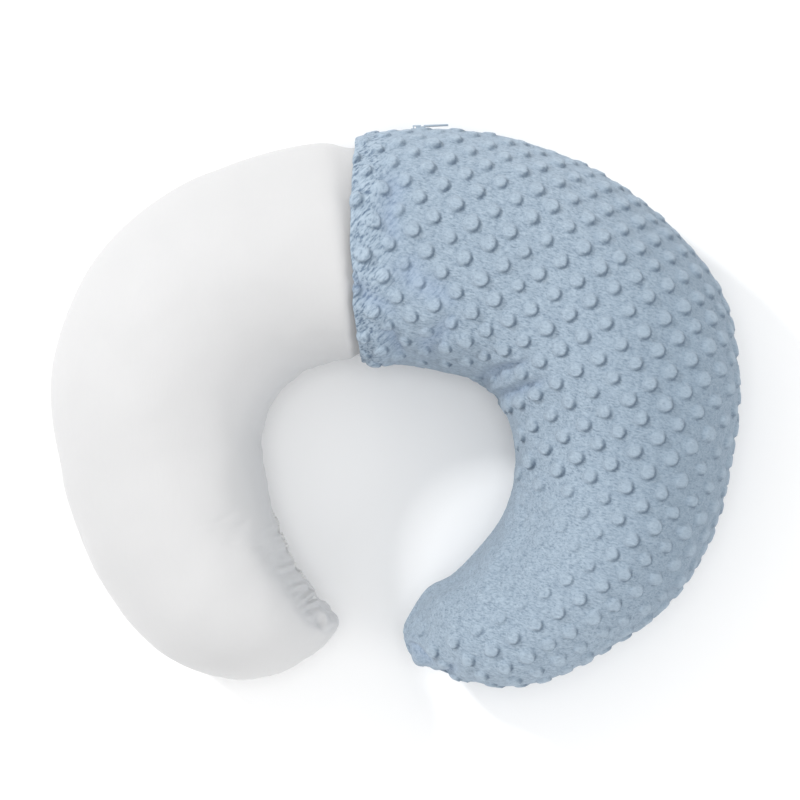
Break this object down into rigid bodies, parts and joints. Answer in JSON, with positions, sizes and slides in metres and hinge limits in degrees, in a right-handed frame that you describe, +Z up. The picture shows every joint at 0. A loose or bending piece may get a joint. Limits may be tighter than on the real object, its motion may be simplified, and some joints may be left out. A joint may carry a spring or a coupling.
{
  "type": "nursing pillow",
  "caption": "C-shaped stuffed nursing pillow lying flat, one arm bare and the other in a dotted plush half cover with a zip along its outer edge.",
  "frame": {"origin": "middle of the underside's box, on the floor the pillow lies on", "axes": "+Z up; the gap between the two arms faces -Y; the covered arm is at +X"},
  "size_m": [0.5464, 0.454, 0.155],
  "materials": {
    "white_ticking": "smooth, slightly sheeny woven cloth",
    "polyester_fill": "soft fibre wadding",
    "white_thread": "spun thread",
    "blue_plush": "short brushed pile with raised dots",
    "blue_facing": "short pile, no dots",
    "zip_tape": "herringbone tape",
    "zip_coil": "nylon coil",
    "zip_metal": "satin plated"
  },
  "bodies": {
    "pillow": {"fibre_fill": "polyester_fill", "pillow_top_panel": "white_ticking", "pillow_bottom_panel": "white_ticking", "closing_thread": "white_thread"},
    "cover": {"cover_top_panel": "blue_plush", "cover_bottom_panel": "blue_plush", "cover_mouth_facing": "blue_facing", "zip_tape_upper": "zip_tape", "zip_tape_lower": "zip_tape", "zip_coil_upper": "zip_coil", "zip_coil_lower": "zip_coil", "zip_top_stop_upper": "zip_metal", "zip_top_stop_lower": "zip_metal", "zip_bottom_stop": "zip_metal"},
    "zip_slider": {"zip_slider": "zip_metal"},
    "zip_pull": {"zip_pull": "zip_metal"}
  },
  "joints": [
    {"name": "cover_slide", "type": "hinge", "parent": "pillow", "child": "cover", "pos_m": [0.02746, -0.05137, 0.066], "axis": [0, 0, -1], "range_deg": [0, 4]},
    {"name": "zip_travel", "type": "hinge", "parent": "cover", "child": "zip_slider", "pos_m": [0.02746, -0.05137, 0.066], "axis": [0, 0, -1], "range_deg": [0, 55]},
    {"name": "pull_swing", "type": "hinge", "parent": "zip_slider", "child": "zip_pull", "pos_m": [0.0166, 0.22441, 0.066], "axis": [0, 0, 1], "range_deg": [0, 160]}
  ]
}
